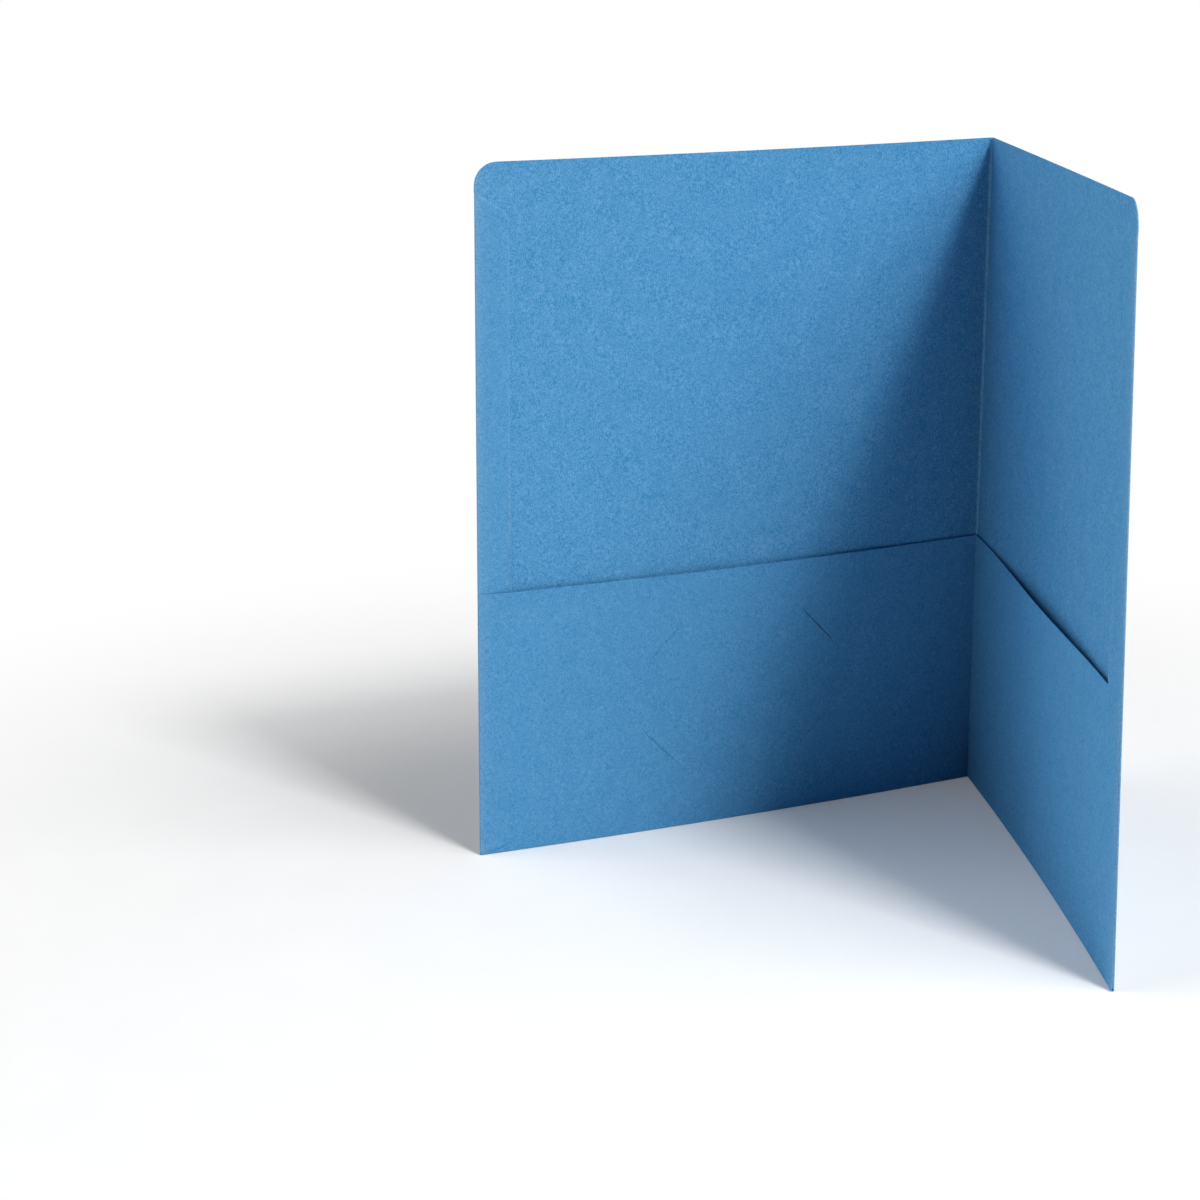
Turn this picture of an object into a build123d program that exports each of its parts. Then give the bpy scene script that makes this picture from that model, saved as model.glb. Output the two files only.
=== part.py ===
"""A letter-size twin pocket folder of heavy paper, standing half open on its bottom edge.

The folder is cut from one sheet. Each cover leaf has a reinforcing flap folded in along its
outer edge and glued down. One pocket strip is folded up from the bottom edge, runs across the
spine and is glued to both flaps. The sheet is modelled panel by panel, with a piece for each fold.

Frame: the spine's fold line is the Z axis, Z points up and Z = 0 is the surface it stands on.
The left leaf lies along -X, and the right leaf is swung round the spine towards -Y.
Each side is drawn once in its own frame: X from the spine to the outer edge, Y towards the inside.
A leaf is flat beside the spine and under its flap, and bows a little between them as it stands.
"""
import os
from math import radians, tan

from build123d import *

# Driving dimensions, in millimetres and degrees
PAPER = 0.4                 # thickness of the folder's paper
GLUE = 0.1                  # thickness of a glue film
LEAF_WIDTH = 244.5          # spine to outer edge of one leaf
LEAF_HEIGHT = 295.3         # bottom edge to top edge of one leaf
CORNER_RADIUS = 9.5         # round on the top outer corner of each leaf
REST_ANGLE = 69.0           # between the two leaves as the folder stands
LEFT_FOOT_BOW = 1.6         # how far the left leaf bows inwards at mid span, along its foot
LEFT_TOP_BOW = 5.4          # the same along its top
RIGHT_FOOT_BOW = -2.6       # the right leaf bows outwards along its foot
RIGHT_TOP_BOW = 0.3         # and hardly at all along its top
FLAT_STRETCH = 20.0         # stretch beside the spine where leaf and pocket stay flat

POCKET_HEIGHT = 116.5       # bottom edge to pocket mouth
POCKET_INSET = 1.0          # pocket's cut end, back from the outer edge
LEFT_MOUTH_BOW = 1.9        # how far the left pocket's mouth stands off its leaf at mid span
RIGHT_MOUTH_BOW = 2.4       # the same on the right pocket

FLAP_WIDTH = 14.5           # outer edge to the flap's free edge
FLAP_TOP_DROP = 12.0        # top of the leaf down to the flap's upper end
FLAP_FOOT = 1.0             # bottom edge up to the flap's lower end
FLAP_TOP_SLANT = 32.0       # fall of the flap's upper end
FLAP_FOOT_SLANT = 24.0      # rise of the flap's lower end
FLAP_RADIUS = 7.0           # round on the flap's two free corners
GLUE_MARGIN = 2.0           # paper left dry round a glue film

SLIT_LENGTH = 24.0          # one knife cut that holds a card's corner
SLIT_WIDTH = 0.4            # how far a cut stands open
SLIT_SPACING = 76.0         # between the cuts' middles, across
SLIT_RISE = 47.6            # between the cuts' middles, upwards
CARD_HEIGHT = 61.8          # bottom edge to the middle of the card
SLIT_ANGLE = 45.0           # each cut crosses its corner at this angle

SPINE_GAP = 0.1             # fold axis to the first square cut of each panel
AXIS_CLEARANCE = 0.1        # fold axis to the pocket strip's inner face

# Layers at the outer edge, from the inside out, measured from the plane of the fold axis
POCKET_FRONT = -AXIS_CLEARANCE
POCKET_BACK = POCKET_FRONT - PAPER
FLAP_FRONT = POCKET_BACK - GLUE
FLAP_BACK = FLAP_FRONT - PAPER
LEAF_FRONT = FLAP_BACK - GLUE
LEAF_BACK = LEAF_FRONT - PAPER

# The two kinds of fold, each a half turn of paper
EDGE_INNER = (FLAP_BACK - LEAF_FRONT) / 2
EDGE_OUTER = EDGE_INNER + PAPER
EDGE_LINE = LEAF_WIDTH - EDGE_OUTER
BOTTOM_INNER = (POCKET_BACK - LEAF_FRONT) / 2
BOTTOM_OUTER = BOTTOM_INNER + PAPER

# Where the panels end
POCKET_END = LEAF_WIDTH - POCKET_INSET
FLAP_INNER = LEAF_WIDTH - FLAP_WIDTH
FLAP_REACH = EDGE_LINE - FLAP_INNER
MID_SPAN = (FLAT_STRETCH + FLAP_INNER) / 2
FLAP_TOP = LEAF_HEIGHT - FLAP_TOP_DROP
FLAP_SHOULDER = FLAP_TOP - FLAP_REACH * tan(radians(FLAP_TOP_SLANT))
FLAP_ANKLE = FLAP_FOOT + FLAP_REACH * tan(radians(FLAP_FOOT_SLANT))
SPINE_TURN = 180.0 - REST_ANGLE


def panel(outline, front, thickness):
    """A flat sheet from an outline drawn as seen from inside, X across and Y up."""
    return extrude(Plane.XZ.offset(-front) * outline, thickness)


def rectangle(left, right, bottom, top):
    """A plain rectangle between two X and two Y values."""
    centre = Pos((left + right) / 2, (bottom + top) / 2)
    return centre * Rectangle(right - left, top - bottom)


def half_ring(inner, outer):
    """Half of a ring, on the +X side of its centre: the section of a folded edge."""
    ring = Circle(outer) - Circle(inner)
    return ring & rectangle(0, outer, -outer, outer)


def bowed_line(layer, end, bow):
    """The level line that one face of a panel follows from the spine to its end."""
    flat_end = (FLAT_STRETCH, layer)
    flap_edge = (FLAP_INNER, layer)
    swell = Spline(flat_end, (MID_SPAN, layer + bow), flap_edge, tangents=[(1, 0), (1, 0)])
    return [Line((SPINE_GAP, layer), flat_end), swell, Line(flap_edge, (end, layer))]


def level_section(back, front, end, height, bow):
    """A panel cut through level at a height."""
    edges = bowed_line(back, end, bow) + bowed_line(front, end, bow)
    edges += [Line((x, back), (x, front)) for x in (SPINE_GAP, end)]
    return Pos(0, 0, height) * make_face(edges)


def bowed_panel(back, front, end, top, foot_bow, top_bow):
    """A panel that stands on the bottom fold, with one bow along its foot and another along its top."""
    foot_section = level_section(back, front, end, BOTTOM_OUTER, foot_bow)
    top_section = level_section(back, front, end, top, top_bow)
    return loft([foot_section, top_section], ruled=True)


def leaf_bow(height, foot_bow, top_bow):
    """How far a leaf bows at a height between its foot and its top."""
    return foot_bow + (top_bow - foot_bow) * (height - BOTTOM_OUTER) / (LEAF_HEIGHT - BOTTOM_OUTER)


def leaf(foot_bow, top_bow):
    """One cover leaf, rounded at its top outer corner."""
    sheet = bowed_panel(LEAF_BACK, LEAF_FRONT, EDGE_LINE, LEAF_HEIGHT, foot_bow, top_bow)
    outer_edges = sheet.edges().sort_by(SortBy.LENGTH)[:4].sort_by(Axis.X)[-2:]
    return fillet(outer_edges.sort_by(Axis.Z)[-1], CORNER_RADIUS)


def edge_fold():
    """The rolled outer edge that turns the leaf into its flap."""
    section = Pos(EDGE_LINE, LEAF_FRONT + EDGE_INNER) * half_ring(EDGE_INNER, EDGE_OUTER)
    return Pos(0, 0, FLAP_FOOT) * extrude(section, FLAP_TOP - FLAP_FOOT)


def flap():
    """The reinforcing flap, slanted and rounded at both ends."""
    sheet = make_face(Polyline(
        (EDGE_LINE, FLAP_FOOT),
        (EDGE_LINE, FLAP_TOP),
        (FLAP_INNER, FLAP_SHOULDER),
        (FLAP_INNER, FLAP_ANKLE),
        close=True,
    ))
    free_corners = sheet.vertices().sort_by(Axis.X)[:2]
    return panel(fillet(free_corners, FLAP_RADIUS), FLAP_FRONT, PAPER)


def flap_glue():
    """The glue film between a flap and its leaf."""
    film = rectangle(
        FLAP_INNER + GLUE_MARGIN, EDGE_LINE - GLUE_MARGIN, FLAP_ANKLE, FLAP_SHOULDER)
    return panel(film, FLAP_BACK, GLUE)


def bottom_section():
    """The bottom fold cut through, drawn with Y across the layers and Z up."""
    turned_down = Rot(0, 0, -90) * half_ring(BOTTOM_INNER, BOTTOM_OUTER)
    return Plane.YZ * Pos(LEAF_FRONT + BOTTOM_INNER, BOTTOM_OUTER) * turned_down


def bottom_fold(foot_bow):
    """The rolled bottom edge that turns the leaf into its pocket, along the bow of the leaf's foot."""
    path = Wire(bowed_line(0, POCKET_END, foot_bow))
    return sweep(Pos(SPINE_GAP, 0, 0) * bottom_section(), path)


def pocket(foot_bow, mouth_bow):
    """One pocket: along its leaf at the fold, glued flat over the flap, and bowed open at its mouth."""
    return bowed_panel(POCKET_BACK, POCKET_FRONT, POCKET_END, POCKET_HEIGHT, foot_bow, mouth_bow)


def card_slits(bow):
    """Four knife cuts through a pocket, one across each corner of a card."""
    depth = bow + 4 * PAPER
    slits = Part()
    for side in (-1, 1):
        for level in (-1, 1):
            place = Pos(
                LEAF_WIDTH / 2 + side * SLIT_SPACING / 2,
                (POCKET_BACK + POCKET_FRONT + bow) / 2,
                CARD_HEIGHT + level * SLIT_RISE / 2)
            turn = Rot(0, SLIT_ANGLE * side * level, 0)
            slits += place * turn * Box(SLIT_LENGTH, depth, SLIT_WIDTH)
    return slits


def pocket_glue():
    """The glue film between a pocket's outer end and the flap below it."""
    film = rectangle(
        FLAP_INNER + GLUE_MARGIN, POCKET_END - GLUE_MARGIN,
        FLAP_ANKLE, POCKET_HEIGHT - GLUE_MARGIN)
    return panel(film, POCKET_BACK, GLUE)


def on_left(piece):
    """Places a piece, drawn in a side's own frame, on the left leaf."""
    return Rot(0, 0, 180) * piece


def on_right(piece):
    """Places the mirrored piece on the right leaf, swung to the rest angle."""
    return Rot(0, 0, 180 + REST_ANGLE) * mirror(piece, about=Plane.XZ)


def crease(section):
    """Bends a section, drawn across the left leaf's layers, round the fold axis to the right leaf."""
    tail = extrude(section, SPINE_GAP)
    bend = revolve(on_left(section), Axis.Z, -SPINE_TURN)
    return bend + on_left(tail) + on_right(tail)


def spine_crease():
    """The creased strip of cover paper between the two leaves."""
    section = Plane.YZ * rectangle(LEAF_BACK, LEAF_FRONT, BOTTOM_OUTER, LEAF_HEIGHT)
    return crease(section)


def pocket_crease():
    """The creased strip between the two pockets, with the bottom fold that carries it."""
    strip = Plane.YZ * rectangle(POCKET_BACK, POCKET_FRONT, BOTTOM_OUTER, POCKET_HEIGHT)
    return crease(strip) + crease(bottom_section())


def side_pieces(foot_bow, top_bow, mouth_bow):
    """Every piece of one side, in that side's own frame."""
    return {
        "leaf": leaf(foot_bow, top_bow),
        "edge_fold": edge_fold(),
        "flap": flap(),
        "flap_glue": flap_glue(),
        "bottom_fold": bottom_fold(foot_bow),
        "pocket": pocket(foot_bow, mouth_bow),
        "pocket_glue": pocket_glue(),
    }


def folder():
    """Every piece of the folder, by name, where it sits as the folder stands."""
    left_mouth = leaf_bow(POCKET_HEIGHT, LEFT_FOOT_BOW, LEFT_TOP_BOW) + LEFT_MOUTH_BOW
    right_mouth = leaf_bow(POCKET_HEIGHT, RIGHT_FOOT_BOW, RIGHT_TOP_BOW) + RIGHT_MOUTH_BOW
    left = side_pieces(LEFT_FOOT_BOW, LEFT_TOP_BOW, left_mouth)
    left["pocket"] = left["pocket"] - card_slits(left_mouth)
    right = side_pieces(RIGHT_FOOT_BOW, RIGHT_TOP_BOW, right_mouth)
    pieces = {"spine_crease": spine_crease(), "pocket_crease": pocket_crease()}
    for name, piece in left.items():
        pieces["left_" + name] = on_left(piece)
    for name, piece in right.items():
        pieces["right_" + name] = on_right(piece)
    return pieces


os.makedirs("parts", exist_ok=True)
for node_name, node in folder().items():
    export_step(node, os.path.join("parts", node_name + ".step"))
    print(node_name, round(node.volume, 2), "mm3")
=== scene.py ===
# %% [markdown]
# # A twin-pocket folder, standing open
# The folder is one sheet of heavy, dyed paper: creased down the middle, turned in along both outer
# edges, folded up along its foot into two pockets, and glued. The CAD part says where each panel
# sits. This lesson dresses every panel in real paper, with its curl, its cut edges and its mottle.
# All lengths end up in metres, in the CAD part's own frame: the spine is the Z axis, the floor Z = 0.

# %% Load the CAD part
from math import cos, pi, radians, sin, tan

import bmesh
import bpy
import numpy as np
from mathutils import Matrix, Vector
from mathutils.geometry import delaunay_2d_cdt


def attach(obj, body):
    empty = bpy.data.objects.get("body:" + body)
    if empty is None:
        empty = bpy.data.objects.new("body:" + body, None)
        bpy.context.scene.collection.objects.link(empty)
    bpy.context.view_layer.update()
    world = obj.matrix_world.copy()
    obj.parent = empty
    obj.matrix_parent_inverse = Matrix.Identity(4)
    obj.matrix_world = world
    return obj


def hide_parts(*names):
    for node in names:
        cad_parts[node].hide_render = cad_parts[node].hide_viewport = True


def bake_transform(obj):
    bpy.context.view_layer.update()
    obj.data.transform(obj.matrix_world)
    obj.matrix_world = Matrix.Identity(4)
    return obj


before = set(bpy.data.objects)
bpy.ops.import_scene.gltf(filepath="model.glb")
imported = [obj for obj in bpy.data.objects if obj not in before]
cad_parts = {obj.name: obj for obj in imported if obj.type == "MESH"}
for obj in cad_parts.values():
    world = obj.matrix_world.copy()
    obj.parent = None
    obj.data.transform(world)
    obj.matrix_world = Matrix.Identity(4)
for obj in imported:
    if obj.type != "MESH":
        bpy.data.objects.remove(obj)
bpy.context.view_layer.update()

# %% [markdown]
# ## Measure before cutting
# A paper maker works from a flat layout, so each half of the folder gets its own flat frame:
# u runs from the spine to the outer edge, n stands up out of the paper towards the reader, and z is
# the height. The sizes could be typed in again, but reading them off the CAD solids is safer:
# if a panel changes there, its paper changes here too. The CAD leaves and pockets are bowed, so the
# layers are read off the flat pieces beside them. What a box can't show, such as a round or a knife
# cut, is repeated where it is needed. Flat sizes stay in millimetres.

# %% Read the layout off the solids
MM = 0.001                  # metres in a millimetre
REST_ANGLE = 69.0           # degrees between the two leaves
SIDES = ("left", "right")
TURN = {"left": 180.0, "right": 180.0 + REST_ANGLE}     # each leaf's direction about the spine
HAND = {"left": 1, "right": -1}                         # the right side is laid out as a mirror image


def side_box(side, panel):
    """Lowest and highest (u, n, z) of a CAD panel in its side's flat frame, in millimetres."""
    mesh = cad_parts[side + "_" + panel].data
    x, y, z = np.array([vertex.co for vertex in mesh.vertices]).T / MM
    angle = radians(TURN[side])
    u = x * cos(angle) + y * sin(angle)
    n = HAND[side] * (y * cos(angle) - x * sin(angle))
    flat = np.stack([u, n, z], -1)
    return flat.min(0), flat.max(0)


(_, _, LEAF_FOOT), (EDGE_LINE, _, LEAF_TOP) = side_box("left", "leaf")
(_, LEAF_BACK, _), (LEAF_REACH, _, _) = side_box("left", "edge_fold")
(FLAP_INNER, FLAP_BACK, FLAP_FOOT), (_, FLAP_FRONT, FLAP_TOP) = side_box("left", "flap")
FLAP_SHOULDER = side_box("left", "flap_glue")[1][2]
POCKET_BACK = side_box("left", "pocket_glue")[1][1]
POCKET_END, _, MOUTH = side_box("left", "pocket")[1]
PAPER = FLAP_FRONT - FLAP_BACK
LEAF_FRONT = LEAF_BACK + PAPER
POCKET_FRONT = POCKET_BACK + PAPER
print(f"leaf {LEAF_REACH:.1f} x {LEAF_TOP:.1f} mm of {PAPER:.2f} mm paper, pocket {MOUTH:.1f} mm high")

# %% [markdown]
# ## Let the paper curl
# A CAD leaf has one plain bow between its two straight edges, and real paper also twists: a folder that
# stands open leans its top corners inwards. A lattice or a few deform modifiers could do this, but a
# plain function of (u, n, z) bends all the layers alike, so the flap and the pocket stay on the leaf.

# %% Stand a flat point up
# Degrees of twist between top and foot, and millimetres of bow along the foot and along the top
CURL = {
    "left": {"twist": -1.3, "foot_bow": 3.0, "top_bow": 5.0},
    "right": {"twist": 1.5, "foot_bow": -2.0, "top_bow": -0.5},
}


def arch(share):
    """0 at both ends of a span, 1 in the middle."""
    return 4 * share * (1 - share)


def leaf_angle(side, z):
    """The direction of a leaf at a height, in radians, with the slow twist of a standing sheet."""
    return np.radians(TURN[side] + CURL[side]["twist"] * (0.5 - z / LEAF_TOP))


def stand(side, u, n, z):
    """Where a point of the flat layout goes on the standing, curled leaf, in metres."""
    curl = CURL[side]
    bow = curl["foot_bow"] + (curl["top_bow"] - curl["foot_bow"]) * z / LEAF_TOP
    n = n + bow * arch(u / LEAF_REACH)
    angle = leaf_angle(side, z)
    x = u * np.cos(angle) - HAND[side] * n * np.sin(angle)
    y = u * np.sin(angle) + HAND[side] * n * np.cos(angle)
    return np.stack([x, y, z], -1) * MM


for side in SIDES:
    corner = stand(side, np.array([LEAF_REACH]), np.array([LEAF_FRONT]), np.array([LEAF_TOP]))[0]
    print(side, "top corner stands at", np.round(corner, 4))

# %% [markdown]
# ## Cut a blank
# Each panel starts as a flat outline with rounded corners, like the knife line of a cutting die.
# A grid with a boolean for every round would leave long thin faces. A constrained Delaunay
# triangulation takes the knife lines as they are and fills the inside with even triangles,
# which bend smoothly later on.

# %% Knife lines
PITCH = 4.0         # millimetres between points
ROUND_STEPS = 10    # steps round a corner


def run_points(start, end, pitch):
    """Points from start towards end at about the pitch, leaving the end itself out."""
    start, end = np.array(start), np.array(end)
    count = max(1, round(float(np.linalg.norm(end - start)) / pitch))
    return [start + (end - start) * i / count for i in range(count)]


def corner_arc(before, corner, after, radius):
    """Points of the arc that rounds one corner of an outline."""
    back = (before - corner) / np.linalg.norm(before - corner)
    ahead = (after - corner) / np.linalg.norm(after - corner)
    half = np.arccos(back @ ahead) / 2
    centre = corner + (back + ahead) / np.linalg.norm(back + ahead) * radius / sin(half)
    first = corner + back * radius / np.tan(half) - centre
    last = corner + ahead * radius / np.tan(half) - centre
    sweep = pi - 2 * half
    arc = []
    for i in range(ROUND_STEPS + 1):
        share = sweep * i / ROUND_STEPS
        arc.append(centre + (first * sin(sweep - share) + last * sin(share)) / sin(sweep))
    return arc


def outline(corners, radii, pitch=PITCH):
    """A closed outline through the corners, each rounded by its radius, with points along its runs."""
    corners = [np.array(corner, float) for corner in corners]
    bends = []
    for i, (corner, radius) in enumerate(zip(corners, radii)):
        after = corners[(i + 1) % len(corners)]
        bends.append(corner_arc(corners[i - 1], corner, after, radius) if radius else [corner])
    loop = []
    for i, bend in enumerate(bends):
        following = bends[(i + 1) % len(bends)]
        loop += bend[:-1] + run_points(bend[-1], following[0], pitch)
    return np.array(loop)


def rectangle(left, right, bottom, top):
    """A square-cornered outline."""
    return outline([(left, bottom), (right, bottom), (right, top), (left, top)], [0, 0, 0, 0])


trial_line = rectangle(0, 40, 0, 20)
print("a trial knife line of 40 x 20 mm:", len(trial_line), "points")

# %% Fill a blank with triangles
ROW_SPACING = 0.87          # between rows of points, as a share of the pitch, for even triangles
CLEARANCE = 0.5             # from a knife line to the nearest point inside, as a share of the pitch
MERGE_WITHIN = 1e-5         # points nearer than this become one
WITHIN_LINES = 1            # the triangulation's own code for keeping only what the lines enclose
NO_MARKS = np.empty((0, 2))


def inside(loop, points):
    """Which of the points lie inside a closed loop, by counting crossings."""
    crossings = np.zeros(len(points), int)
    for (x0, y0), (x1, y1) in zip(loop, np.roll(loop, -1, 0)):
        spans = (y0 > points[:, 1]) != (y1 > points[:, 1])
        rise = y1 - y0 if y1 != y0 else 1.0
        crossings += spans & (points[:, 0] < x0 + (points[:, 1] - y0) * (x1 - x0) / rise)
    return crossings % 2 == 1


def filling(loops, pitch, marks):
    """Staggered points inside the first loop, clear of every knife line and mark."""
    low, high = loops[0].min(0), loops[0].max(0)
    rows = np.arange(low[1], high[1], pitch * ROW_SPACING)
    columns = np.arange(low[0], high[0], pitch)
    points = np.array([(x + pitch / 2 * (i % 2), y) for i, y in enumerate(rows) for x in columns])
    knife = np.concatenate([*loops, marks])
    nearest = np.array([np.abs(knife - p).max(1).min() for p in points])
    return points[inside(loops[0], points) & (nearest > pitch * CLEARANCE)]


def cut_blank(edge, cuts=(), pitch=PITCH, marks=NO_MARKS):
    """Flat points (u, z) and triangles of a sheet, with cuts left open and points at every mark."""
    loops = [edge, *cuts]
    points, lines = [], []
    for loop in loops:
        first, count = len(points), len(loop)
        points += [Vector(p) for p in loop]
        lines += [(first + i, first + (i + 1) % count) for i in range(count)]
    points += [Vector(p) for p in marks]
    points += [Vector(p) for p in filling(loops, pitch, marks)]
    found = delaunay_2d_cdt(points, lines, [], WITHIN_LINES, MERGE_WITHIN)
    flat = np.array([tuple(p) for p in found[0]])
    triangles = np.array(found[2])
    centres = flat[triangles].mean(1)
    for cut in cuts:
        open_part = inside(cut, centres)
        triangles, centres = triangles[~open_part], centres[~open_part]
    return flat, triangles.tolist()


trial = cut_blank(trial_line)
print("the trial blank:", len(trial[0]), "points,", len(trial[1]), "triangles")

# %% [markdown]
# ## The paper itself
# The sheet is dyed right through, so it has no printed coat: pale and dark fibres lie side by side
# and give a fine mottle, stronger on the inside face than on the smoother outside. A photograph of
# paper would do, but it has one size and one light. Noise at four sizes, mixed into one ramp of
# blues and into a shallow bump, stays sharp from any distance and never repeats. A few helpers
# come first, so that the finish itself reads as a recipe.

# %% Node helpers
def add_node(tree, kind, inputs=(), **settings):
    """A shader node with its settings, and its inputs linked or set."""
    node = tree.nodes.new(kind)
    for name, value in settings.items():
        setattr(node, name, value)
    for socket, value in dict(inputs).items():
        if isinstance(value, bpy.types.NodeSocket):
            tree.links.new(value, node.inputs[socket])
        else:
            node.inputs[socket].default_value = value
    return node


def new_finish(name):
    """An empty material's node tree, with its surface shader and the piece's own coordinates."""
    material = bpy.data.materials.new(name)
    material.use_nodes = True
    tree = material.node_tree
    tree.nodes.clear()
    shader = add_node(tree, "ShaderNodeBsdfPrincipled")
    add_node(tree, "ShaderNodeOutputMaterial", {"Surface": shader.outputs["BSDF"]})
    place = add_node(tree, "ShaderNodeTexCoord").outputs["Object"]
    return material, tree, shader, place


def speckle(tree, place, size_mm, stretch=(1, 1, 1), tilt=0.0, detail=3.0):
    """Noise whose patches are about this large, drawn out along one direction if stretched."""
    scale = [1 / (size_mm * MM * s) for s in stretch]
    turn = {"Vector": place, "Angle": tilt}
    turned = add_node(tree, "ShaderNodeVectorRotate", turn, rotation_type="Z_AXIS").outputs[0]
    sized = add_node(tree, "ShaderNodeVectorMath", {0: turned, 1: scale}, operation="MULTIPLY").outputs[0]
    noise = add_node(tree, "ShaderNodeTexNoise", {"Vector": sized, "Scale": 1.0, "Detail": detail})
    return noise.outputs[0]


def weighed_sum(tree, parts, start=0.5):
    """start plus each noise's swing about its middle, times its weight."""
    total = start
    for value, weight in parts:
        swing = add_node(tree, "ShaderNodeMath", {0: value, 1: 0.5}, operation="SUBTRACT").outputs[0]
        terms = {0: swing, 1: weight, 2: total}
        total = add_node(tree, "ShaderNodeMath", terms, operation="MULTIPLY_ADD").outputs[0]
    return total


def ramp(tree, value, stops):
    """A colour ramp over the stops, which are (position, linear colour)."""
    node = add_node(tree, "ShaderNodeValToRGB", {"Fac": value})
    elements = node.color_ramp.elements
    while len(elements) < len(stops):
        elements.new(0.5)
    for element, (position, colour) in zip(elements, stops):
        element.position = position
        element.color = (*colour, 1)
    return node.outputs["Color"]


print("helpers ready")

# %% [markdown]
# ## Three finishes of one paper
# The outside of the sheet is smooth, the inside has more tooth, and a cut edge shows the pale core.
# Three materials could be made by hand, but they would drift apart. One function makes all three, and
# only the swing of the colour, the depth of the bump and the paleness differ. A value that each mesh
# carries at its points mixes in a pale tone: real rubbing where hands touch the paper, and a painted
# highlight along the flap's free edge.

# %% Three finishes
DEEP_BLUE = np.array([0.022, 0.198, 0.413])
MID_BLUE = np.array([0.074, 0.275, 0.508])
PALE_BLUE = np.array([0.130, 0.352, 0.603])
# pale tone of rubbed paper, also painted along the flap's free edge as a highlight
SCUFF_AND_HIGHLIGHT_TONE = (0.24, 0.38, 0.56)
MOTTLE = {
    "cloud": {"size_mm": 9.0, "detail": 2.0},
    "blotch": {"size_mm": 1.7, "stretch": (1, 1, 1.25)},
    "grain": {"size_mm": 0.55, "stretch": (1, 1, 1.3), "detail": 2.0},
    "fibre": {"size_mm": 0.16, "stretch": (1, 1, 9), "tilt": 0.4},
}
COLOUR_SHARE = {"cloud": 0.3, "blotch": 0.6, "grain": 2.4, "fibre": 1.2}
RELIEF_SHARE = {"blotch": 0.5, "grain": 1.0, "fibre": 0.7}
DRIEST, SLEEKEST = 0.95, 0.7    # roughness from dark blotches to pale ones
TOOTH_DEPTH = 0.03              # millimetres of relief
PAPER_GLOSS = 0.25


def paper(name, mottle, tooth, lift=1.0):
    """One face of the dyed paper: mottle scales its colour swing, tooth its relief, lift its paleness."""
    material, tree, shader, place = new_finish(name)
    noise = {layer: speckle(tree, place, **settings) for layer, settings in MOTTLE.items()}
    value = weighed_sum(tree, [(noise[layer], share * mottle) for layer, share in COLOUR_SHARE.items()])
    blues = ramp(tree, value, [(0, DEEP_BLUE * lift), (0.5, MID_BLUE * lift), (1, PALE_BLUE * lift)])
    # the pale tone comes in where the paper is rubbed, and along the flap's free edge as a painted highlight
    wear_and_highlight = add_node(tree, "ShaderNodeAttribute", attribute_name="wear_and_highlight").outputs["Fac"]
    pale_mix = add_node(tree, "ShaderNodeMath", {0: wear_and_highlight, 1: noise["grain"]}, operation="MULTIPLY").outputs[0]
    mix = {"Factor": pale_mix, "A": blues, "B": (*SCUFF_AND_HIGHLIGHT_TONE, 1)}
    colour = add_node(tree, "ShaderNodeMix", mix, data_type="RGBA")
    dryness = {"Value": noise["blotch"], "To Min": DRIEST, "To Max": SLEEKEST}
    dry = add_node(tree, "ShaderNodeMapRange", dryness)
    relief = weighed_sum(tree, [(noise[layer], share) for layer, share in RELIEF_SHARE.items()])
    tooth_bump = {"Height": relief, "Strength": tooth, "Distance": TOOTH_DEPTH * MM}
    bump = add_node(tree, "ShaderNodeBump", tooth_bump)
    tree.links.new(colour.outputs["Result"], shader.inputs["Base Color"])
    tree.links.new(dry.outputs["Result"], shader.inputs["Roughness"])
    tree.links.new(bump.outputs["Normal"], shader.inputs["Normal"])
    shader.inputs["Specular IOR Level"].default_value = PAPER_GLOSS
    return material


PAPER_FINISHES = [
    paper("paper_outside", mottle=0.7, tooth=0.5),
    paper("paper_inside", mottle=1.0, tooth=0.8),
    paper("paper_cut_edge", mottle=1.4, tooth=1.0, lift=1.25),
]
OUTSIDE, INSIDE, CUT = range(3)
print("finishes:", [finish.name for finish in PAPER_FINISHES])

# %% [markdown]
# ## From flat to solid
# Paper has two faces and a rim. A Solidify modifier would add the thickness, but it can't tell the
# outside face from the inside one, and a folded sheet shows both. So each piece is given the places of
# both faces, point for point, and a rim is closed round every open edge, slits included.

# %% Close a sheet
RIM_ANGLE = 40.0    # degrees between two faces that make their edge look sharp


def open_edges(faces):
    """Directed edges that only one face uses."""
    runs = {(face[i - 1], face[i]) for face in faces for i in range(len(face))}
    return sorted((a, b) for a, b in runs if (b, a) not in runs)


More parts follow.
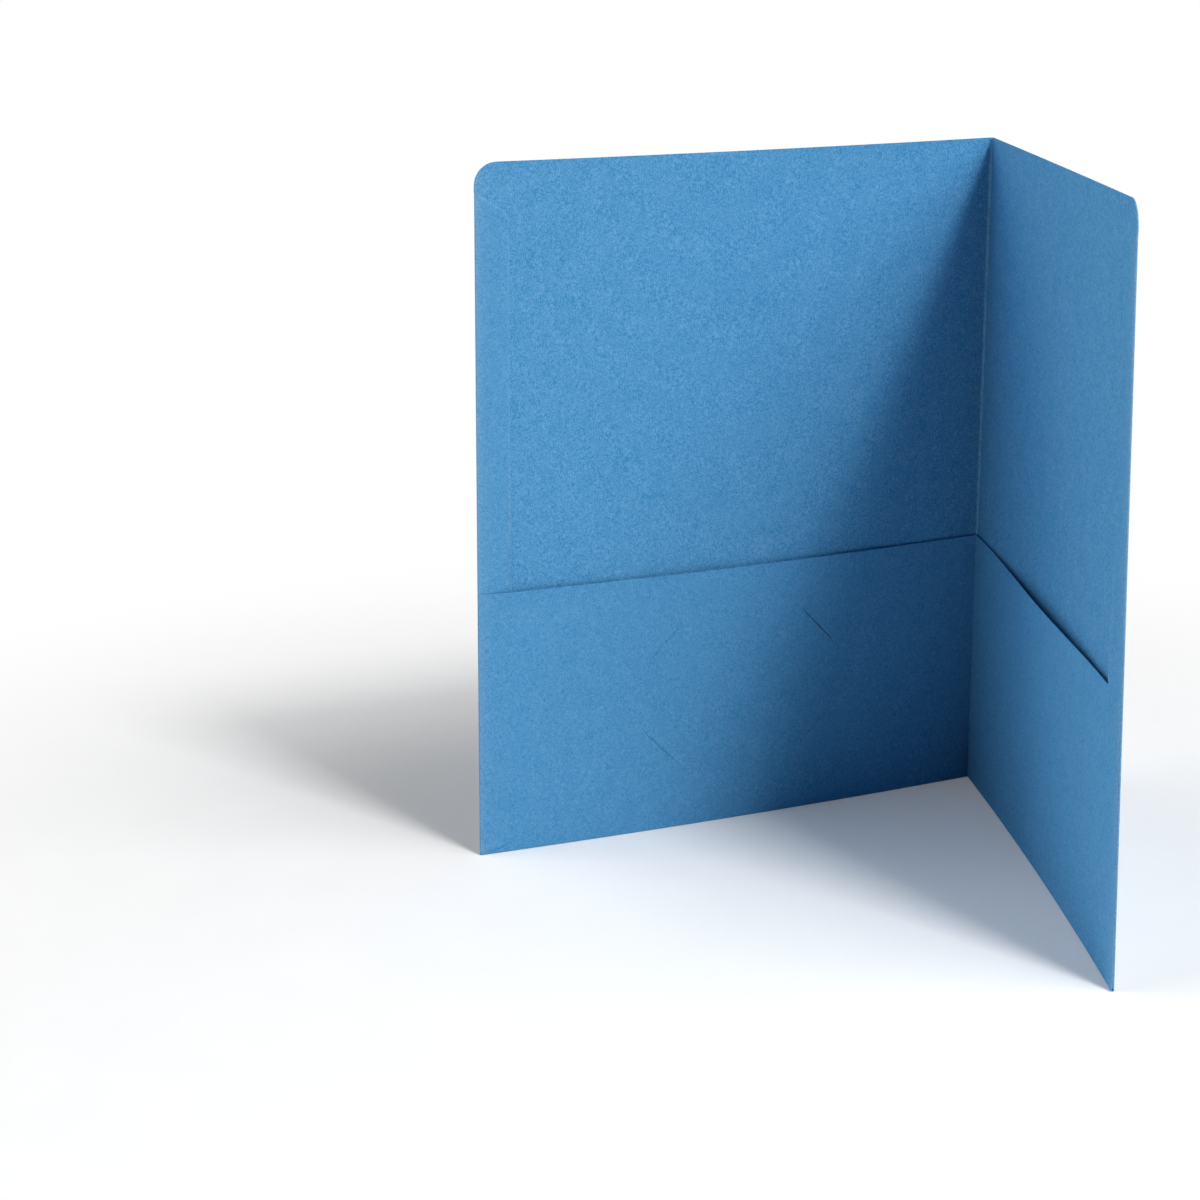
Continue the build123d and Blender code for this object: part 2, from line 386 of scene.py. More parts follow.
def close_sheet(name, outside, inside_face, faces, wear_and_highlight=0.0):
    """A sheet of paper from the places of its two faces, as an object of its own."""
    count = len(outside)
    lining = [[i + count for i in reversed(face)] for face in faces]
    rims = [[b, a, a + count, b + count] for a, b in open_edges(faces)]
    mesh = bpy.data.meshes.new(name)
    mesh.from_pydata(np.concatenate([outside, inside_face]).tolist(), [], [*faces, *lining, *rims])
    finish = [OUTSIDE] * len(faces) + [INSIDE] * len(lining) + [CUT] * len(rims)
    mesh.polygons.foreach_set("material_index", finish)
    # the pale share: rubbing on edges, creases and foot, and a painted highlight on the flap's free edge
    wear = np.broadcast_to(wear_and_highlight, count)
    attribute = mesh.attributes.new("wear_and_highlight", "FLOAT", "POINT")
    attribute.data.foreach_set("value", np.concatenate([wear, wear]).astype(np.float32))
    shape = bmesh.new()
    shape.from_mesh(mesh)
    bmesh.ops.recalc_face_normals(shape, faces=shape.faces)
    shape.to_mesh(mesh)
    shape.free()
    mesh.shade_smooth()
    mesh.set_sharp_from_angle(angle=radians(RIM_ANGLE))
    for material in PAPER_FINISHES:
        mesh.materials.append(material)
    piece = bpy.data.objects.new(name, mesh)
    bpy.context.scene.collection.objects.link(piece)
    return piece


def seat(piece, side, panel):
    """The piece stands for a CAD panel and moves with that half of the cover."""
    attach(piece, side + "_cover")
    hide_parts(side + "_" + panel)
    print(piece.name, len(piece.data.vertices), "points")


print("rims turn sharp above", RIM_ANGLE, "degrees")

# %% [markdown]
# ## The two leaves
# A leaf is a plain rectangle with one rounded corner. Its inside edge stops just short of the spine,
# where the crease takes over, its foot stops where the bottom fold begins, and its outer edge stops
# where the edge rolls over, except above the flap, where the paper is simply cut. The CAD solid could
# be kept and painted, but a new blank bends with the paper's own curl, has a finish for each face,
# and carries the wear of the edge that hands hold.

# %% Leaves
CORNER_RADIUS = 9.5                     # round on the top outer corner
CREASE_HALF = 1.5                       # spine to the edge of the crease's strip
SPINE_HUG = 20.0                        # stretch beside the spine where a pocket lies close
BLUNT_SHARE = 0.35                      # how much of a mouth's bow is blunt, the rest being a soft wave
HOLLOW = {"left": 0.0, "right": 0.6}    # how far the leaf is pushed back behind its pocket's mouth
HOLLOW_REACH = 70.0                     # how far above and below the mouth the hollow fades
EDGE_WEAR = 0.6                         # how rubbed the outer edge is
WEAR_REACH = 2.0                        # how far in from the edge the wear fades


def edge_wear(u):
    """How rubbed the paper is beside the outer edge."""
    return EDGE_WEAR * np.exp(np.minimum(u - EDGE_LINE, 0) / WEAR_REACH)


def swell(u):
    """The bow of a pocket's mouth along the leaf: none by the spine or on the flap, 1 between."""
    share = np.clip((u - SPINE_HUG) / (FLAP_INNER - SPINE_HUG), 0, 1)
    return BLUNT_SHARE * arch(share) ** 2 + (1 - BLUNT_SHARE) * np.sin(pi * share) ** 2


def leaf(side):
    """One leaf of the cover, pushed back a little where the pocket's mouth stands open."""
    corners = [
        (CREASE_HALF, LEAF_FOOT), (EDGE_LINE, LEAF_FOOT), (EDGE_LINE, FLAP_TOP),
        (LEAF_REACH, FLAP_TOP), (LEAF_REACH, LEAF_TOP), (CREASE_HALF, LEAF_TOP)]
    flat, faces = cut_blank(outline(corners, [0, 0, 0, 0, CORNER_RADIUS, 0]))
    u, z = flat.T
    hollow = HOLLOW[side] * swell(u) * np.exp(-(((z - MOUTH) / HOLLOW_REACH) ** 2))
    outside = stand(side, u, LEAF_BACK - hollow, z)
    inner = stand(side, u, LEAF_FRONT - hollow, z)
    seat(close_sheet(side + "_leaf_paper", outside, inner, faces, edge_wear(u)), side, "leaf")


for side in SIDES:
    leaf(side)

# %% [markdown]
# ## The turned-in edges
# Along each outer edge the paper rolls over and comes back as a flap, so the edge that hands touch is
# double. The roll is a swept half ring. A bevel on the leaf would round it too, but the ring keeps the
# paper's true thickness all the way round.

# %% Edge folds
TURN_STEPS = 10     # steps round a fold


def strip_faces(rows, columns):
    """Four-sided faces of a strip whose points are numbered row by row."""
    faces = []
    for i in range(rows - 1):
        for j in range(columns - 1):
            a = i * columns + j
            faces.append([a, a + 1, a + 1 + columns, a + columns])
    return faces


def half_turn(radius):
    """A half circle's sideways and lengthways offsets, from one layer round to the other."""
    angles = np.linspace(-pi / 2, pi / 2, TURN_STEPS + 1)
    return radius * np.cos(angles), radius * np.sin(angles)


def edge_fold(side):
    """The rolled outer edge of one leaf, from the leaf's layer to the flap's."""
    middle = (LEAF_FRONT + FLAP_BACK) / 2
    heights = np.arange(FLAP_FOOT, FLAP_TOP, PITCH)
    heights = np.append(heights, FLAP_TOP)
    faces_at = []
    for radius in (FLAP_FRONT - middle, FLAP_BACK - middle):
        out, across = half_turn(radius)
        u, z = np.meshgrid(EDGE_LINE + out, heights)
        n = np.broadcast_to(middle + across, u.shape)
        faces_at.append(stand(side, u.ravel(), n.ravel(), z.ravel()))
    faces = strip_faces(len(heights), TURN_STEPS + 1)
    seat(close_sheet(side + "_rolled_edge", *faces_at, faces, EDGE_WEAR), side, "edge_fold")


for side in SIDES:
    edge_fold(side)

# %% [markdown]
# ## The flaps
# A flap is a strip with both ends slanted and rounded, glued down on its leaf. Its free edge is pressed
# into the leaf for most of its length, and stands up and curls where the pocket's mouth pulls at it.
# A bump could hint at so small a step, but it would cast no shadow and would be lost in the meshes. So
# rows of extra points follow the edge, and they are really moved.

# %% How the flap lifts
EDGE_LIFT = {"left": 0.9, "right": 1.2}     # how far the flap stands off its leaf at the mouth
LIFT_REACH = 45.0                           # how far above and below the mouth the lift fades


def on_flap(u):
    """0 at the outer edge, 1 from the flap's free edge to the spine."""
    return np.clip((EDGE_LINE - u) / (EDGE_LINE - FLAP_INNER), 0, 1)


def near_mouth(z):
    """1 at the height of the pocket's mouth, fading away above and below it."""
    return np.exp(-(((z - MOUTH) / LIFT_REACH) ** 2))


def edge_lift(side, u, z):
    """How far the flap and the pocket glued to it stand off the leaf round the pocket's mouth."""
    to_spine = np.clip(u / FLAP_INNER, 0, 1)
    return EDGE_LIFT[side] * on_flap(u) ** 2 * to_spine * near_mouth(z)


print("lift of the flaps at the mouth:", EDGE_LIFT, "mm")

# %% Points along the flap's edge
FLAP_RADIUS = 7.0           # round on the flap's two free corners
FOOT_SLANT = 13.0           # degrees that the lower end rises
FLAP_ANKLE = FLAP_FOOT + (EDGE_LINE - FLAP_INNER) * tan(radians(FOOT_SLANT))
CURL_ROWS = (-0.2, -0.45, -0.8, -1.3, -2.2)     # rows of points, each so far inside the outline
CURL_PITCH = 1.4            # between the points of a row
EDGE_STEP = CURL_PITCH / 10     # between the points that distances are measured from
ROW_SLACK = 0.9             # share of the first row's distance that every row keeps from the edge


def flap_outline(pitch):
    """The flap's outline, with points along it at the pitch."""
    corners = [
        (EDGE_LINE, FLAP_FOOT), (EDGE_LINE, FLAP_TOP),
        (FLAP_INNER, FLAP_SHOULDER), (FLAP_INNER, FLAP_ANKLE)]
    return outline(corners, [0, 0, FLAP_RADIUS, FLAP_RADIUS], pitch)


def beside_flap(pitch, rows):
    """Rows of points along the flap's outline, each so far outside it, or inside where negative."""
    line = flap_outline(pitch)
    run = np.roll(line, -1, 0) - np.roll(line, 1, 0)
    outwards = np.stack([run[:, 1], -run[:, 0]], -1) / np.linalg.norm(run, axis=1)[:, None]
    return np.concatenate([line + outwards * away for away in rows])


def from_flap_edge(points):
    """Each point's distance from the flap's free edge and slanted ends."""
    line = flap_outline(EDGE_STEP)
    line = line[line[:, 0] < EDGE_LINE - EDGE_STEP]
    return np.array([np.linalg.norm(line - point, axis=1).min() for point in points])


def curl_marks():
    """Points that carry the curl of the flap's free edge."""
    rows = beside_flap(CURL_PITCH, CURL_ROWS)
    clear = from_flap_edge(rows) > -max(CURL_ROWS) * ROW_SLACK
    off_fold = rows[:, 0] < EDGE_LINE - CURL_PITCH
    return rows[inside(flap_outline(PITCH), rows) & clear & off_fold]


print(len(curl_marks()), "points carry the curl of a flap's edge")

# %% Flaps
FREE_CURL = 0.5         # how far the free edge curls up above the pocket's mouth
EDGE_PRESS = 0.37       # how far the free edge is pressed down elsewhere
CURL_REACH = 0.45       # how far in from the edge both fade
PAINTED_EDGE_HIGHLIGHT = 0.6         # how strongly a pale highlight is painted along the free edge


def flap(side):
    """The flap that lies on the leaf, its free edge pressed down, and curled up by the pocket's mouth."""
    flat, faces = cut_blank(flap_outline(PITCH), marks=curl_marks())
    u, z = flat.T
    above_pocket = np.clip((z - MOUTH) / PITCH, 0, 1)
    by_edge = np.exp(-from_flap_edge(flat) / CURL_REACH)
    lift = edge_lift(side, u, z) + FREE_CURL * above_pocket * near_mouth(z) * by_edge
    pressed = EDGE_PRESS * (1 - near_mouth(z)) * by_edge
    outside = stand(side, u, FLAP_FRONT + lift - pressed, z)
    inner = stand(side, u, FLAP_BACK + lift, z)
    # painted highlight: the pale tone along the free edge stands in for the light that its cut edge catches
    wear_and_highlight = edge_wear(u) + PAINTED_EDGE_HIGHLIGHT * by_edge
    seat(close_sheet(side + "_flap_paper", outside, inner, faces, wear_and_highlight), side, "flap")


for side in SIDES:
    flap(side)

# %% [markdown]
# ## Knife cuts for a card
# The left pocket has four short cuts that hold a card by its corners. A boolean would cut them out of
# the finished sheet, but it leaves ragged faces all round. Here they are knife lines in the flat blank,
# as the die makes them. No two have sprung open by the same gap, and the paper rises a little on the
# card's side of each.

# %% Knife cuts
SLIT_LENGTH = 24.0      # one cut, from point to point
SLIT_SPACING = 76.0     # between the cuts' middles, across
SLIT_RISE = 47.6        # between the cuts' middles, upwards
CARD_HEIGHT = 61.8      # floor to the middle of the card
SLIT_GAP = {(1, -1): 0.2, (-1, 1): 0.4, (1, 1): 0.15, (-1, -1): 0.27}   # by (across, up) from there
SLIT_POINTS = 17        # along one lip of a cut
LIP_LIFT = 0.6          # how far a lip rises, as a share of its gap
LIP_REACH = 5.0         # how far from the cut the rise fades


def slits():
    """Each cut's middle, its direction, the direction from it to the card's middle, and its gap."""
    found = []
    for across in (-1, 1):
        for up in (-1, 1):
            middle_u = LEAF_REACH / 2 + across * SLIT_SPACING / 2
            middle = np.array([middle_u, CARD_HEIGHT + up * SLIT_RISE / 2])
            along = np.array([1.0, -across * up]) / np.sqrt(2)
            to_card = np.array([-across, -up]) / np.sqrt(2)
            found.append((middle, along, to_card, SLIT_GAP[across, up]))
    return found


def slit_loop(middle, along, to_card, gap):
    """The outline of an open knife cut: a sliver that closes to a point at both ends."""
    steps = np.linspace(-1, 1, SLIT_POINTS)
    lip = [middle + along * s * SLIT_LENGTH / 2 + to_card * (1 - s ** 6) * gap / 2 for s in steps]
    other = [middle + along * s * SLIT_LENGTH / 2 - to_card * (1 - s ** 6) * gap / 2 for s in steps]
    return np.array(lip + other[-2:0:-1])


def lip_lift(u, z):
    """How far the paper springs up beside the cuts, on the card's side of each."""
    lift = np.zeros_like(u)
    for middle, along, to_card, gap in slits():
        offset = np.stack([u, z], -1) - middle
        s = np.clip(offset @ along / (SLIT_LENGTH / 2), -1, 1)
        away = offset @ to_card
        spring = LIP_LIFT * gap * (1 - s ** 4) ** 2 * np.exp(-((away / LIP_REACH) ** 2))
        lift += np.where(away > 0, spring, 0)
    return lift


print("knife cuts at", [np.round(cut[0], 1).tolist() for cut in slits()])

# %% [markdown]
# ## The pockets
# The pocket strip is folded up from the foot, so it shows the outside of the paper. Glued at its
# outer end and held by the crease at the spine, its mouth bows forward between the two. Over the flap
# its end is pressed down, and low down, where the strip is tight, the flap's edge shows through as a
# faint ridge with a step beside it. A cloth simulation could find such a shape, but a sum of a few
# plain terms is quick, gives the same result each time, and can be set against the real one.

# %% The flap's edge shows through
RIDGE = 0.5             # how far the pocket is held up along the flap's edge
RIDGE_REACH = 2.2       # how far in from the edge the ridge fades
SHOW_THROUGH = 0.45     # how far the pocket sinks just off the edge
STEP_WIDTH = 0.6        # from the ridge down to the sunk paper
STEP_FADE = 8.0         # how far out from the edge the sunk paper comes up again
STEP_ROWS = (-2.6, -1.4, -0.6, 0.0, 0.25, 0.5, 0.8, 1.2, 2.0)   # rows, inside to outside
STEP_PITCH = 1.4        # between the points of a row


def step_marks():
    """Rows of points beside the flap's edge, close enough to carry the step that shows through."""
    rows = beside_flap(STEP_PITCH, STEP_ROWS)
    u, z = rows.T
    margin = STEP_PITCH / 2
    return rows[(u < POCKET_END - margin) & (z > LEAF_FOOT + margin) & (z < MOUTH - margin)]


def show_through(u, z):
    """How the pocket follows the flap's edge: held up along it, and sunk just off it, most by the foot."""
    points = np.stack([u, z], -1)
    away = from_flap_edge(points)
    held = RIDGE * np.exp(-((away / RIDGE_REACH) ** 2))
    near = np.exp(-((away / STEP_WIDTH) ** 2))
    sunk = RIDGE * near - SHOW_THROUGH * (1 - near) * np.exp(-away / STEP_FADE)
    step = np.where(inside(flap_outline(EDGE_STEP), points), held, sunk)
    return step * (1 - z / MOUTH) ** 3 * np.clip((z - LEAF_FOOT) / STEP_PITCH, 0, 1)


print(len(step_marks()), "points carry the step in a pocket")

# %% Pockets
POCKET_PITCH = 3.0                          # between the points of a pocket
END_SHIFT = 0.8                             # the cut end lies this far past the CAD solid's
POCKET_REACH = POCKET_END + END_SHIFT
MOUTH_BOW = {"left": 1.9, "right": 2.4}     # how far the mouth stands off its leaf at mid span
LIP_GAP = {"left": 1.0, "right": 0.0}       # how far the mouth parts from the flap
LIP_FADE = 30.0                             # how far towards the spine that fades
LIP_DEPTH = 6.0                             # how far below the mouth a change there fades
PRESSED_END = {"left": 0.0, "right": 0.9}   # how far the mouth is pressed to the flap, 1 being flush
GLUED_END = 0.8                             # the same for the pocket's outer end
GLUED_FROM = 10.0                           # height above the fold from where that holds in full
PRESS_REACH = 1.5                           # width of the step down to a pressed part


def at_lip(z):
    """1 at the pocket's mouth, fading away below it."""
    return np.exp((z - MOUTH) / LIP_DEPTH)


def pocket_rise(side, u, z):
    """How far the pocket stands off its layer: mouth's bow, flap's lift and edge, and gap at the lip."""
    bow = MOUTH_BOW[side] - EDGE_LIFT[side] / 2
    rise = bow * swell(u) * (z - LEAF_FOOT) / (MOUTH - LEAF_FOOT) + edge_lift(side, u, z)
    to_flap = np.exp(np.minimum(u - FLAP_INNER, 0) / LIP_FADE)
    return rise + show_through(u, z) + LIP_GAP[side] * to_flap * on_flap(u) * at_lip(z)


def pocket_press(side, u, z):
    """How far the pocket is pressed towards the flap, from 0 to 1: at its mouth and at its outer end."""
    at_mouth = PRESSED_END[side] * np.clip((u - FLAP_INNER) / PRESS_REACH, 0, 1) * at_lip(z)
    to_end = np.clip((u - POCKET_REACH) / PRESS_REACH + 1, 0, 1)
    return np.maximum(at_mouth, GLUED_END * to_end * np.clip((z - LEAF_FOOT) / GLUED_FROM, 0, 1))


def pocket(side, cuts):
    """One pocket's front, bowed at its mouth, with the flap's edge showing faintly through."""
    edge = rectangle(CREASE_HALF, POCKET_REACH, LEAF_FOOT, MOUTH)
    flat, faces = cut_blank(edge, [slit_loop(*cut) for cut in cuts], POCKET_PITCH, step_marks())
    u, z = flat.T
    rise = pocket_rise(side, u, z)
    if cuts:
        rise = rise + lip_lift(u, z)
    pressed = pocket_press(side, u, z)
    outside = stand(side, u, POCKET_FRONT + rise - pressed * (POCKET_FRONT - FLAP_FRONT), z)
    inner = stand(side, u, POCKET_BACK + rise - pressed * (POCKET_BACK - FLAP_FRONT), z)
    seat(close_sheet(side + "_pocket_paper", outside, inner, faces, edge_wear(u)), side, "pocket")


pocket("left", slits())
pocket("right", [])

# %% [markdown]
# ## The fold at the foot
# The strip leaves the leaf's layer at the floor, turns up in a half ring and becomes the pocket.
# It could be one mesh with the leaf and the pocket, but as a piece of its own it stands for its own
# CAD solid. This is the edge that the folder stands on, so its outside is a little rubbed.

# %% Bottom folds
FOOT_WEAR = 0.12    # how rubbed the foot is


def foot_turn():
    """The bottom fold's two faces as (n, z) from the leaf's layer round to the pocket's: outside, inside."""
    middle = (LEAF_FRONT + POCKET_BACK) / 2
    faces_at = []
    for radius in (POCKET_FRONT - middle, POCKET_BACK - middle):
        down, across = half_turn(radius)
        faces_at.append((middle + across, LEAF_FOOT - down))
    return faces_at


def bottom_fold(side):
    """The rolled foot of one leaf."""
    reach = np.append(np.arange(CREASE_HALF, POCKET_REACH, PITCH), POCKET_REACH)
    faces_at = []
    for n, z in foot_turn():
        n, u = np.meshgrid(n, reach)
        z = np.broadcast_to(z, u.shape)
        faces_at.append(stand(side, u.ravel(), n.ravel(), z.ravel()))
    faces = strip_faces(len(reach), TURN_STEPS + 1)
    seat(close_sheet(side + "_rolled_foot", *faces_at, faces, FOOT_WEAR), side, "bottom_fold")


for side in SIDES:
    bottom_fold(side)

# %% [markdown]
# ## The creases
# Down the spine the cover is scored, and the score stands up inside the fold as a fine bead that
# catches the light. The pocket strip is creased in the same line. A strip cut in two would be
# simpler, but it would part as the folder opens.

# %% Turn a strip round the spine
CREASE_STEPS = 20       # steps round the spine
TAIL_POINTS = 2         # points on the flat strip at each side of the bend
BEAD_WIDTH = 0.12       # width of the scored bead, as a share of the turn
CREASE_TURN = np.linspace(0, 1, CREASE_STEPS + 1)
BEAD = np.exp(-(((CREASE_TURN - 0.5) / BEAD_WIDTH) ** 2))


def crease_row(n, z, bead):
    """One level of a crease, from the left half round the spine to the right half."""
    tail = np.linspace(CREASE_HALF, CREASE_HALF / TAIL_POINTS, TAIL_POINTS)
    level = np.full(len(tail), z)
    depth = np.full(len(tail), n)
    left = stand("left", tail, depth, level)
    right = stand("right", tail[::-1], depth, level)
    first = leaf_angle("left", z) - pi / 2
    last = leaf_angle("right", z) + pi / 2 - 2 * pi
    angle = first + (last - first) * CREASE_TURN
    radius = -n - bead * BEAD
    bend = np.stack([radius * np.cos(angle), radius * np.sin(angle), np.full(len(angle), z)], -1) * MM
    return np.concatenate([left, bend, right])


def crease(name, outside, inner, beads, wear, replaced):
    """A creased strip from its two faces, each a list of (n, z) levels."""
    faces_at = []
    for face, bead in zip((outside, inner), beads):
        faces_at.append(np.concatenate([crease_row(n, z, bead) for n, z in face]))
    pale_mix = np.tile(np.pad(BEAD * wear, TAIL_POINTS), len(outside))
    columns = len(pale_mix) // len(outside)
    piece = close_sheet(name, *faces_at, strip_faces(len(outside), columns), pale_mix)
    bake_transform(piece)
    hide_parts(replaced)
    print(piece.name, len(piece.data.vertices), "points")


print("a level of a crease has", len(crease_row(LEAF_BACK, LEAF_FOOT, 0)), "points")

# %% The two creases
BEAD_HEIGHT = 0.3       # how far the score stands up inside the fold
SPINE_WEAR = 0.9        # how rubbed the score is
STRIP_WEAR = 0.15       # how rubbed the pocket strip's crease is

spine_levels = np.append(np.arange(LEAF_FOOT, LEAF_TOP, PITCH), LEAF_TOP)
spine_outside = [(LEAF_BACK, z) for z in spine_levels]
spine_inside = [(LEAF_FRONT, z) for z in spine_levels]
scored = (0, BEAD_HEIGHT)
crease("spine_crease_paper", spine_outside, spine_inside, scored, SPINE_WEAR, "spine_crease")

mouth_levels = np.append(np.arange(LEAF_FOOT + PITCH, MOUTH, PITCH), MOUTH)
turned_outside, turned_inside = (list(zip(n, z)) for n, z in foot_turn())
strip_outside = turned_outside + [(POCKET_FRONT, z) for z in mouth_levels]
strip_inside = turned_inside + [(POCKET_BACK, z) for z in mouth_levels]
plain = (0, 0)
crease("pocket_crease_paper", strip_outside, strip_inside, plain, STRIP_WEAR, "pocket_crease")

# %% [markdown]
# ## The glue
# Each flap is glued to its leaf, and each pocket's outer end to its flap. The films hardly show, and
# could be left out, but someone may lift a layer, and they keep the layers from hanging in the air.
# Dried glue is a hard, slightly cloudy skin, so it is glossier than the paper and a shade darker where
# it soaked in.

# %% The finish of dried glue
GLUE_SKIN = {
    "cloud": {"size_mm": 4.0},
    "ridge": {"size_mm": 1.2, "stretch": (1, 1, 12)},
}
SKIN_SHARE = {"cloud": 1.0, "ridge": 0.6}
SOAKED_TONE = (0.30, 0.38, 0.42)
CLOUDY_TONE = (0.62, 0.66, 0.66)
GLUE_ROUGHNESS = (0.25, 0.5)
RIDGE_STRENGTH = 0.4
RIDGE_DEPTH = 0.02      # millimetres of relief


def dried_glue():
    """A cloudy, half-glossy skin with soft brush ridges."""
    material, tree, shader, place = new_finish("dried_glue")
    noise = {layer: speckle(tree, place, **settings) for layer, settings in GLUE_SKIN.items()}
    value = weighed_sum(tree, [(noise[layer], share) for layer, share in SKIN_SHARE.items()])
    colour = ramp(tree, value, [(0.2, SOAKED_TONE), (0.8, CLOUDY_TONE)])
    sleek, dull = GLUE_ROUGHNESS
    shine = add_node(tree, "ShaderNodeMapRange", {"Value": value, "To Min": sleek, "To Max": dull})
    ridges = {"Height": value, "Strength": RIDGE_STRENGTH, "Distance": RIDGE_DEPTH * MM}
    bump = add_node(tree, "ShaderNodeBump", ridges)
    tree.links.new(colour, shader.inputs["Base Color"])
    tree.links.new(shine.outputs["Result"], shader.inputs["Roughness"])
    tree.links.new(bump.outputs["Normal"], shader.inputs["Normal"])
    return material


GLUE = dried_glue()
print("finish:", GLUE.name)

# %% Glue films
GLUE_ROUND = 1.5        # round on a film's corners


def glue_film(side, layer):
    """The film of glue behind a flap or a pocket's end, rounded as a roller leaves it."""
    (inner_u, back, foot), (outer_u, front, top) = side_box(side, layer + "_glue")
    corners = [(inner_u, foot), (outer_u, foot), (outer_u, top), (inner_u, top)]
    flat, faces = cut_blank(outline(corners, [GLUE_ROUND] * 4))
    u, z = flat.T
    name = side + "_" + layer + "_glue_film"
    film = close_sheet(name, stand(side, u, front, z), stand(side, u, back, z), faces)
    film.data.materials.clear()
    film.data.materials.append(GLUE)
    film.data.polygons.foreach_set("material_index", [0] * len(film.data.polygons))
    seat(film, side, layer + "_glue")


for side in SIDES:
    for layer in ("flap", "pocket"):
        glue_film(side, layer)

# %% [markdown]
# ## The camera
# The camera stands where the photograph was taken from: in front and to the left, a little above the
# folder's top, looking down. It could be set by eye, but a fit of the folder's edges gives its place
# and lens together. The picture is square, so the lens follows from its focal length in picture widths.

# %% Camera
EYE = Vector((-628.5, -948.1, 394.0)) * MM
YAW, PITCH_DOWN, ROLL = radians(24.873), radians(15.301), radians(-0.158)
PICTURE_PIXELS = 1200       # across the square picture
FOCAL_PIXELS = 2541.4       # the lens's focal length in the same pixels
VIEW_DEPTH = FOCAL_PIXELS / PICTURE_PIXELS
SENSOR = 36.0               # millimetres across the sensor

ahead = Vector((sin(YAW) * cos(PITCH_DOWN), cos(YAW) * cos(PITCH_DOWN), -sin(PITCH_DOWN)))
level = Vector((cos(YAW), -sin(YAW), 0))
upright = level.cross(ahead)
right = level * cos(ROLL) + upright * sin(ROLL)
top = upright * cos(ROLL) - level * sin(ROLL)

camera_data = bpy.data.cameras.new("camera")
camera_data.sensor_width = SENSOR
camera_data.lens = SENSOR * VIEW_DEPTH
camera = bpy.data.objects.new("camera", camera_data)
camera.matrix_world = Matrix.Translation(EYE) @ Matrix((right, top, -ahead)).transposed().to_4x4()
bpy.context.scene.collection.objects.link(camera)
bpy.context.scene.camera = camera
print(f"lens {camera_data.lens:.1f} mm, {EYE.length:.2f} m from the spine's foot")

# %% [markdown]
# ## The floor
# The folder stands on a pale, faintly uneven floor. A plain white plane would need so much light to
# look white that the paper would bleach. So the floor is a wide disc that near the folder shows its own
# shading, which keeps the shadow, and further out is seen by the camera as plain white.

# %% Floor
FLOOR_RADIUS = 14.0                     # metres
FLOOR_SIDES = 96
FLOOR_MIDDLE = (-0.15, -0.12, 0.0)      # metres, about under the folder
FLOOR_PATCH = 30.0                      # millimetres across one uneven patch
FLOOR_TONES = ((0.3, (0.95, 0.95, 0.95)), (0.7, (0.97, 0.97, 0.97)))
FLOOR_ROUGHNESS = 0.9
SHADOW_REACH = (0.24, 0.62)             # metres from the middle where the white begins and where it is full
SHADOW_VEIL = 0.1                       # share of white beside the folder


def either(tree, first, second):
    """1 where a ray is one kind or the other."""
    return add_node(tree, "ShaderNodeMath", {0: first, 1: second}, operation="MAXIMUM").outputs[0]


def floor_finish():
    """A pale, faintly uneven floor that fades to plain white away from the folder for the camera."""
    material, tree, shader, place = new_finish("pale_floor")
    output = next(node for node in tree.nodes if node.type == "OUTPUT_MATERIAL")
    uneven = speckle(tree, place, FLOOR_PATCH)
    tree.links.new(ramp(tree, uneven, FLOOR_TONES), shader.inputs["Base Color"])
    shader.inputs["Roughness"].default_value = FLOOR_ROUGHNESS
    distance = add_node(tree, "ShaderNodeVectorMath", {0: place, 1: FLOOR_MIDDLE}, operation="DISTANCE")
    near, far = SHADOW_REACH
    fade = add_node(
        tree, "ShaderNodeMapRange",
        {"Value": distance.outputs["Value"], "From Min": near, "From Max": far, "To Min": SHADOW_VEIL},
        interpolation_type="SMOOTHSTEP").outputs["Result"]
    ray = add_node(tree, "ShaderNodeLightPath").outputs
    seen = either(tree, ray["Is Camera Ray"], ray["Is Glossy Ray"])
    seen = either(tree, seen, ray["Is Transmission Ray"])
    share = add_node(tree, "ShaderNodeMath", {0: seen, 1: fade}, operation="MULTIPLY").outputs[0]
    white = add_node(tree, "ShaderNodeEmission", {"Color": (1, 1, 1, 1), "Strength": 1.0})
    surfaces = {0: share, 1: shader.outputs["BSDF"], 2: white.outputs["Emission"]}
    mixed = add_node(tree, "ShaderNodeMixShader", surfaces)
    tree.links.new(mixed.outputs["Shader"], output.inputs["Surface"])
    return material


floor_shape = bmesh.new()
bmesh.ops.create_circle(floor_shape, cap_ends=True, segments=FLOOR_SIDES, radius=FLOOR_RADIUS)
floor_mesh = bpy.data.meshes.new("floor")
floor_shape.to_mesh(floor_mesh)
floor_shape.free()
floor_mesh.materials.append(floor_finish())
floor = bpy.data.objects.new("floor", floor_mesh)
bpy.context.scene.collection.objects.link(floor)
print("floor", FLOOR_RADIUS * 2, "m across")

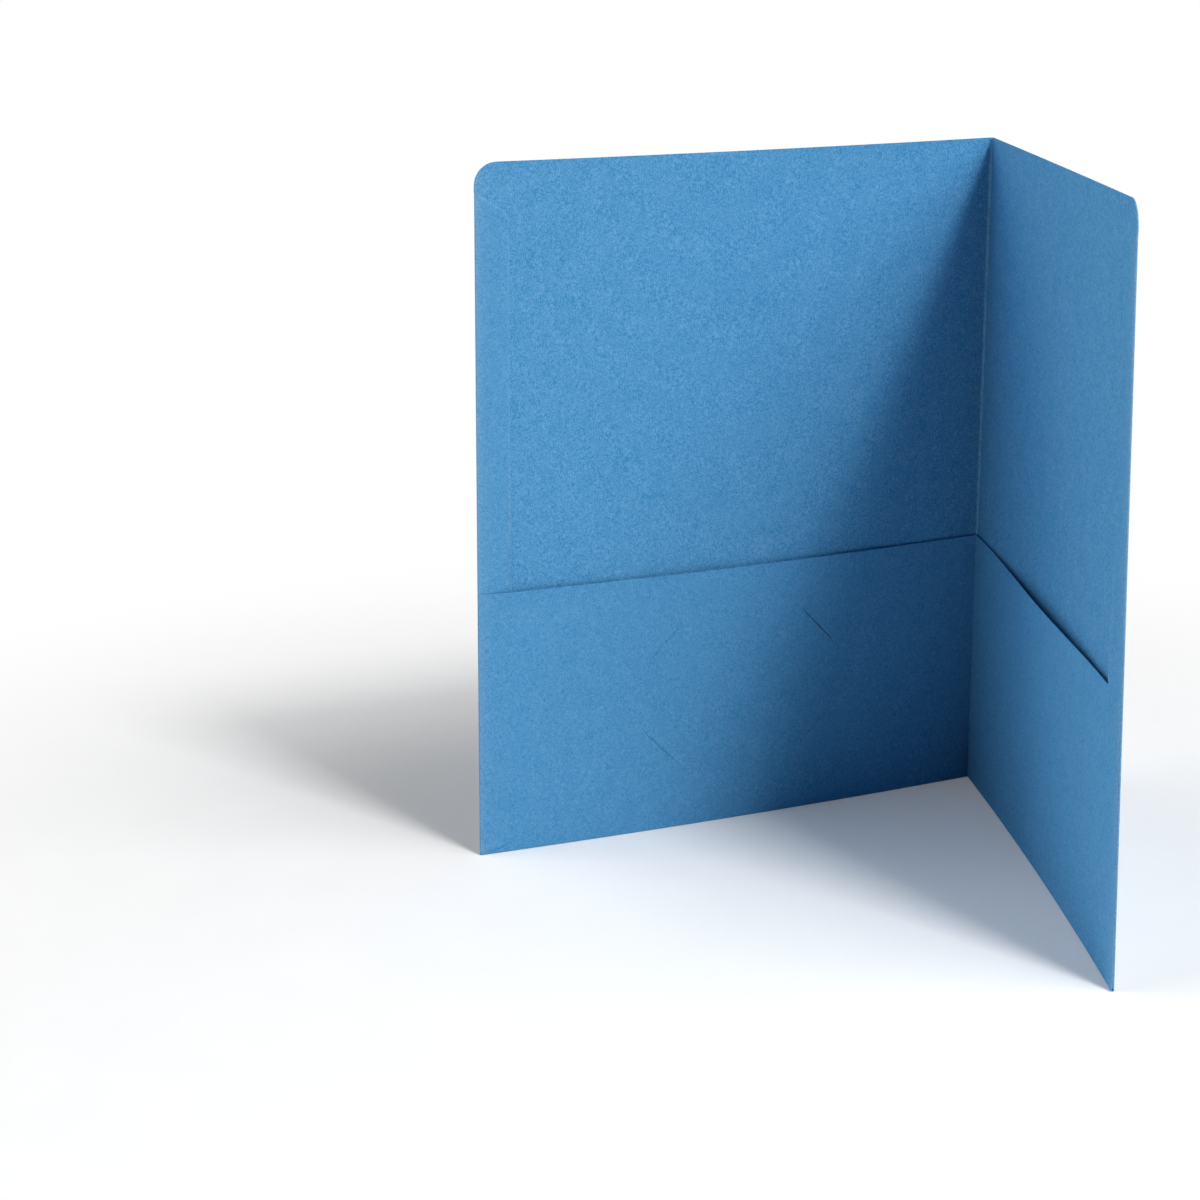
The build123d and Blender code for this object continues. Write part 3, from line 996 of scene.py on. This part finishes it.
# %% [markdown]
# ## The light
# The light comes over the right leaf, which throws a soft, slanting shade across the left one. One
# great soft lamp would wash that shade out, and a small one would cut it hard. So a fairly small key
# lamp draws the shade, two larger ones beside it soften it, and two at the left light the inside of
# the right leaf and the back of the left one. The world is almost dark for the paper and plain white
# for the camera.

# %% Lamps
AIM = Vector((-0.12, -0.06, 0.13))      # metres, the middle of the folder
LAMPS = {
    "key": {"from": (0.21, -1.63, 2.05), "size": 0.45, "power": 36.0},
    "side": {"from": (0.97, -1.15, 2.10), "size": 1.2, "power": 21.0},
    "front": {"from": (0.45, -2.19, 1.30), "size": 1.2, "power": 15.0},
    "wall": {"from": (-2.25, 0.51, 1.30), "size": 2.0, "power": 23.0},
    "back": {"from": (-1.78, 1.60, 1.04), "size": 2.0, "power": 19.0},
}


def lamp(name, settings):
    """A square soft lamp aimed at the folder."""
    data = bpy.data.lights.new(name, "AREA")
    data.size = settings["size"]
    data.energy = settings["power"]
    place = Vector(settings["from"])
    piece = bpy.data.objects.new(name, data)
    aimed = (AIM - place).to_track_quat("-Z", "Y").to_matrix().to_4x4()
    piece.matrix_world = Matrix.Translation(place) @ aimed
    bpy.context.scene.collection.objects.link(piece)
    print("lamp", name, settings)


for lamp_name, lamp_settings in LAMPS.items():
    lamp(lamp_name, lamp_settings)

# %% World
WORLD_LIGHT = 0.01

world = bpy.data.worlds.new("studio")
world.use_nodes = True
sky = world.node_tree
sky.nodes.clear()
room = add_node(sky, "ShaderNodeBackground", {"Color": (1, 1, 1, 1), "Strength": WORLD_LIGHT})
backdrop = add_node(sky, "ShaderNodeBackground", {"Color": (1, 1, 1, 1), "Strength": 1.0})
sky_path = add_node(sky, "ShaderNodeLightPath")
sky_mix = add_node(
    sky, "ShaderNodeMixShader",
    {0: sky_path.outputs["Is Camera Ray"], 1: room.outputs[0], 2: backdrop.outputs[0]})
add_node(sky, "ShaderNodeOutputWorld", {"Surface": sky_mix.outputs[0]})
bpy.context.scene.world = world
bpy.context.scene.view_settings.view_transform = "Standard"
print("world light", WORLD_LIGHT)
